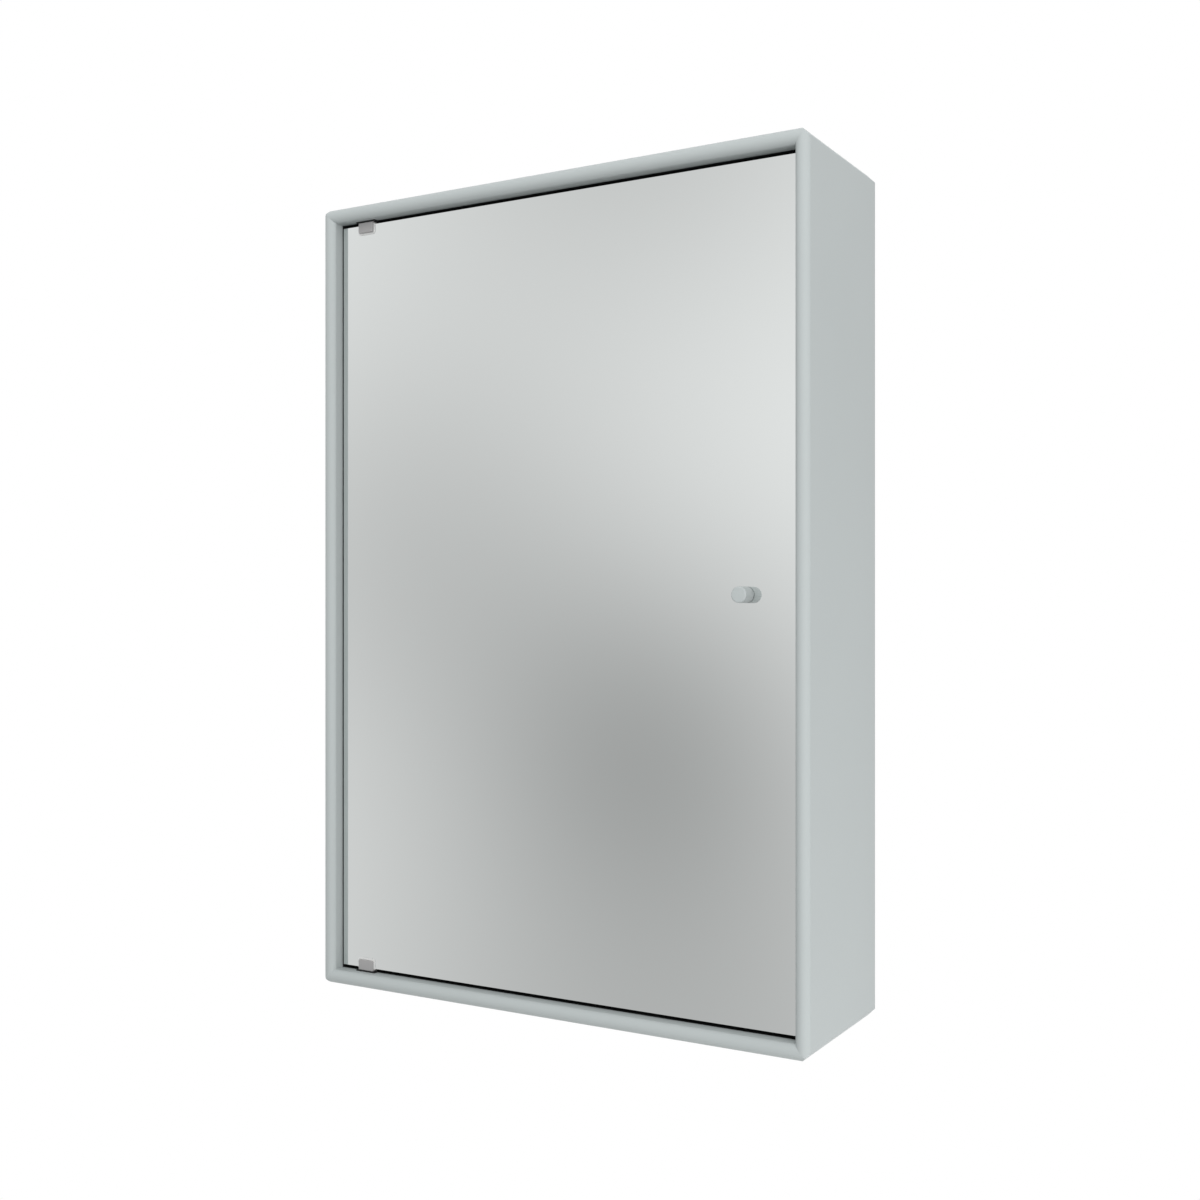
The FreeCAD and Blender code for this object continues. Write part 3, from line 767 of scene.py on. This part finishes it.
def make_screws():
    """Slotted screws of the back panel and of the catch."""
    tree = screw_tree()
    slot = {
        "Slot_Width": SLOT_WIDTH,
        "Slot_Depth": SLOT_DEPTH,
        "Saw_Length": SAW_LENGTH,
        "Finish": zinc_plate,
    }
    low, high = (Vector(corner) for corner in cad_box)
    size = high - low
    row_x = high.x - BOARD + REBATE / 2
    row_z = high.z - BOARD + REBATE / 2
    places = [
        (side * row_x, -share * size.z, 0) for side in (-1, 1) for share in BACK_SCREW_HEIGHT_SHARES]
    places += [
        (share * size.x, side * row_z, 0) for side in (-1, 1) for share in BACK_SCREW_WIDTH_SHARES]
    turns = [SLOT_TURN * i for i in range(len(places))]
    blank = screw_blank(BACK_SCREW_LENGTH)
    mesh = on_points(tree, "back_screws_set", places, turns, {"Blank": blank}, **slot)
    mesh.transform(Matrix.Rotation(math.radians(-90), 4, "X"))
    show(mesh, "back_screws_set", "carcass", "zinc_steel", "back_panel_screws")
    low, high = (Vector(corner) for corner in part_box("catch_screws"))
    places = [(side * CATCH_SCREW_SPREAD / 2, (low.y + high.y) / 2, -low.x) for side in (-1, 1)]
    turns = [SLOT_TURN * i for i in range(len(places))]
    blank = screw_blank(CATCH_SCREW_LENGTH)
    mesh = on_points(tree, "catch_screws_set", places, turns, {"Blank": blank}, **slot)
    mesh.transform(Matrix.Rotation(math.radians(-90), 4, "Y"))
    show(mesh, "catch_screws_set", "carcass", "zinc_steel", "catch_screws")


def make_washers():
    """Steel washers round the four wall holes."""
    low, high = (Vector(corner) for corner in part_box("wall_fixing_washers"))
    xs = (low.x + WASHER / 2, high.x - WASHER / 2)
    zs = (low.z + WASHER / 2, high.z - WASHER / 2)
    places = [(x, -z, (low.y + high.y) / 2) for x in xs for z in zs]
    mesh = on_points(
        washer_tree(), "wall_washers_set", places, [0.0] * len(places), {}, Across=WASHER,
        Hole=WASHER_HOLE, Thickness=high.y - low.y, Edge_Round=WASHER_ROUND, Finish=zinc_plate)
    mesh.transform(Matrix.Rotation(math.radians(-90), 4, "X"))
    show(mesh, "wall_washers_set", "carcass", "zinc_steel", "wall_fixing_washers")


def make_knob():
    """Turned knob with a rounded rim and a narrow relief at its foot."""
    low, high = (Vector(corner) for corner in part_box("door_knob"))
    radius = (high.x - low.x) / 2
    front = -low.y
    foot = -high.y
    section = [(0, front)]
    for i in range(KNOB_ROUND_STEPS + 1):
        turn = math.radians(90) * i / KNOB_ROUND_STEPS
        section.append((
            radius - KNOB_ROUND * (1 - math.sin(turn)), front - KNOB_ROUND * (1 - math.cos(turn))))
    section += [(radius, foot + KNOB_RELIEF), (radius - KNOB_RELIEF, foot), (0, foot)]
    mesh = turned("lacquered_knob", section)
    mesh.transform(Matrix.Translation(((low.x + high.x) / 2, 0, (low.z + high.z) / 2))
                   @ Matrix.Rotation(math.radians(90), 4, "X"))
    mesh.set_sharp_from_angle(angle=math.radians(CREASE_DEG))
    mesh.materials.append(lacquer)
    show(mesh, "lacquered_knob", "door", "knob_lacquer", "door_knob")


def smooth_copy(node, finish, body, slot):
    """Merged copy of a CAD node with its curved faces shaded smooth."""
    bm = bmesh.new()
    bm.from_mesh(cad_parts[node].data)
    bmesh.ops.remove_doubles(bm, verts=bm.verts, dist=WELD)
    mesh = finished_mesh(bm, node + "_finished", finish)
    if "custom_normal" in mesh.attributes:
        mesh.attributes.remove(mesh.attributes["custom_normal"])
    mesh.set_sharp_from_angle(angle=math.radians(CREASE_DEG))
    show(mesh, node + "_finished", body, slot, node)


def finish_fittings():
    """Smooth copies of the small rounded fittings, and finishes on the flat CAD pieces that stay."""
    rounded = {
        "upper_pivot_bush": (nylon, "carcass", "black_nylon"),
        "lower_pivot_bush": (nylon, "carcass", "black_nylon"),
        "catch_housing": (grey_abs, "carcass", "grey_plastic"),
        "upper_hinge_clamp": (die_cast, "door", "clamp_metal"),
        "lower_hinge_clamp": (die_cast, "door", "clamp_metal"),
        "upper_pivot_pin": (turned_steel, "door", "pin_steel"),
        "lower_pivot_pin": (turned_steel, "door", "pin_steel"),
        "hinge_set_screws": (turned_steel, "door", "pin_steel"),
        "knob_grommet": (grey_abs, "door", "grey_plastic"),
        "knob_washer": (zinc_plate, "door", "zinc_steel"),
        "knob_screw": (zinc_plate, "door", "zinc_steel"),
        "strike_plate": (zinc_plate, "door", "zinc_steel"),
    }
    for node, (finish, body, slot) in rounded.items():
        smooth_copy(node, finish, body, slot)
    flat = {
        "back_panel": lacquer,
        "corner_dowels": beech,
        "catch_magnet": ferrite,
        "mirror_safety_film": backing_film,
        "upper_hinge_liner": liner,
        "lower_hinge_liner": liner,
        "strike_adhesive_pad": foam_tape,
    }
    for node, finish in flat.items():
        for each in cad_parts[node].material_slots:
            each.material = finish


def make_camera():
    """Camera of the photograph's view, level, its horizon set by the shift."""
    lens = bpy.data.cameras.new("camera")
    lens.sensor_width = SENSOR_MM
    lens.lens = FOCAL_PX / FRAME_PX * SENSOR_MM
    lens.shift_y = (HORIZON_PX - FRAME_PX / 2) / FRAME_PX
    lens.dof.use_dof = False
    camera = bpy.data.objects.new("camera", lens)
    camera.location = CAMERA_PLACE
    camera.rotation_euler = (math.radians(90), 0, math.radians(VIEW_TURN_DEG))
    bpy.context.collection.objects.link(camera)
    bpy.context.scene.camera = camera


def soft_light(name, place, aim, size, power):
    """Round soft lamp that no reflection shows."""
    lamp = bpy.data.lights.new(name, "AREA")
    lamp.shape = "DISK"
    lamp.size = size
    lamp.energy = power
    lamp.color = WARM
    light = bpy.data.objects.new(name, lamp)
    light.location = place
    light.visible_glossy = False
    light.visible_camera = False
    light.rotation_euler = (Vector(aim) - Vector(place)).to_track_quat("-Z", "Y").to_euler()
    bpy.context.collection.objects.link(light)


def seen_rays(tree):
    """One for a ray from the camera or through a reflection or a pane, else nothing."""
    path = add(tree, "ShaderNodeLightPath").outputs
    both = add(tree, "ShaderNodeMath", {
        0: path["Is Camera Ray"], 1: path["Is Glossy Ray"]}, operation="MAXIMUM")
    seen = add(tree, "ShaderNodeMath", {
        0: both.outputs[0], 1: path["Is Transmission Ray"]}, operation="MAXIMUM")
    return path, seen.outputs[0]


def make_world():
    """White to the camera and behind glass, soft flags in reflections and an even room for shading."""
    world = bpy.data.worlds.new("studio")
    bpy.context.scene.world = world
    world.use_nodes = True
    tree = world.node_tree
    tree.nodes.clear()
    path, seen = seen_rays(tree)
    ray = add(tree, "ShaderNodeTexCoord").outputs["Generated"]
    level = 1.0
    for left, up, spread, depth in FLAGS:
        left, up, spread = math.radians(left), math.radians(up), math.radians(spread)
        aim = (-math.sin(left) * math.cos(up), -math.cos(left) * math.cos(up), math.sin(up))
        near = add(tree, "ShaderNodeVectorMath", {0: ray, 1: aim}, operation="DOT_PRODUCT")
        off = add(tree, "ShaderNodeMath", {0: near.outputs["Value"], 1: 1.0}, operation="SUBTRACT")
        fall = add(tree, "ShaderNodeMath", {0: off.outputs[0], 1: spread ** -2}, operation="MULTIPLY")
        soft = add(tree, "ShaderNodeMath", {0: fall.outputs[0]}, operation="EXPONENT")
        dim = add(tree, "ShaderNodeMath", {0: soft.outputs[0], 1: depth}, operation="MULTIPLY")
        left_over = add(tree, "ShaderNodeMath", {0: level, 1: dim.outputs[0]}, operation="SUBTRACT")
        level = left_over.outputs[0]
    height = add(tree, "ShaderNodeSeparateXYZ", {0: ray}).outputs["Z"]
    back = add(tree, "ShaderNodeMath", {
        0: height, 1: THROWN_LEAN, 2: THROWN_BACK}, operation="MULTIPLY_ADD", use_clamp=True)
    thrown = add(tree, "ShaderNodeMath", {0: path["Diffuse Depth"], 1: 0.5}, operation="GREATER_THAN")
    level = add(tree, "ShaderNodeMix", {0: thrown.outputs[0], 2: level, 3: back.outputs[0]}).outputs[0]
    away = add(tree, "ShaderNodeMix", {0: path["Is Glossy Ray"], 2: 1.0, 3: level})
    room = add(tree, "ShaderNodeMath", {0: height, 1: ROOM_LEAN, 2: AMBIENT}, operation="MULTIPLY_ADD")
    strength = add(tree, "ShaderNodeMix", {0: seen, 2: room.outputs[0], 3: away.outputs[0]})
    sky = add(tree, "ShaderNodeBackground", {"Color": (1, 1, 1, 1), "Strength": strength.outputs[0]})
    add(tree, "ShaderNodeOutputWorld", {"Surface": sky.outputs[0]})


def make_floor():
    """Pale round floor well below, lifted to white where it is seen so that only the shadow shows.

    It fades out towards its rim, so that no edge shows from above or in the mirror.
    """
    bm = bmesh.new()
    bmesh.ops.create_circle(bm, cap_ends=True, segments=FLOOR_SIDES, radius=FLOOR_RADIUS,
                            matrix=Matrix.Translation((0, 0, FLOOR_Z)))
    mesh = bpy.data.meshes.new("floor")
    bm.to_mesh(mesh)
    bm.free()
    paper = bpy.data.materials.new("studio_paper")
    paper.use_nodes = True
    tree = paper.node_tree
    shader = tree.nodes["Principled BSDF"]
    shader.inputs["Base Color"].default_value = linear(PAPER)
    shader.inputs["Roughness"].default_value = PAPER_ROUGHNESS
    shader.inputs["Emission Color"].default_value = (1, 1, 1, 1)
    _, seen = seen_rays(tree)
    lift = add(tree, "ShaderNodeMath", {0: seen, 1: FLOOR_LIFT}, operation="MULTIPLY")
    tree.links.new(lift.outputs[0], shader.inputs["Emission Strength"])
    place = add(tree, "ShaderNodeTexCoord").outputs["Object"]
    across = add(tree, "ShaderNodeVectorMath", {0: place, 1: (1, 1, 0)}, operation="MULTIPLY")
    out = add(tree, "ShaderNodeVectorMath", {0: across.outputs[0]}, operation="LENGTH")
    fade = add(tree, "ShaderNodeMapRange", {
        "Value": out.outputs["Value"], "From Min": FLOOR_WHOLE, "From Max": FLOOR_RADIUS, "To Min": 1.0,
        "To Max": 0.0}, interpolation_type="SMOOTHSTEP")
    tree.links.new(fade.outputs["Result"], shader.inputs["Alpha"])
    mesh.materials.append(paper)
    scratch_object(mesh)


make_boards()
make_panes()
make_supports()
make_screws()
make_washers()
make_knob()
finish_fittings()
make_camera()
make_world()
make_floor()
for label, (place, aim, size, power) in LAMPS.items():
    soft_light(label, place, aim, size, power)
bpy.context.scene.view_settings.view_transform = "Standard"
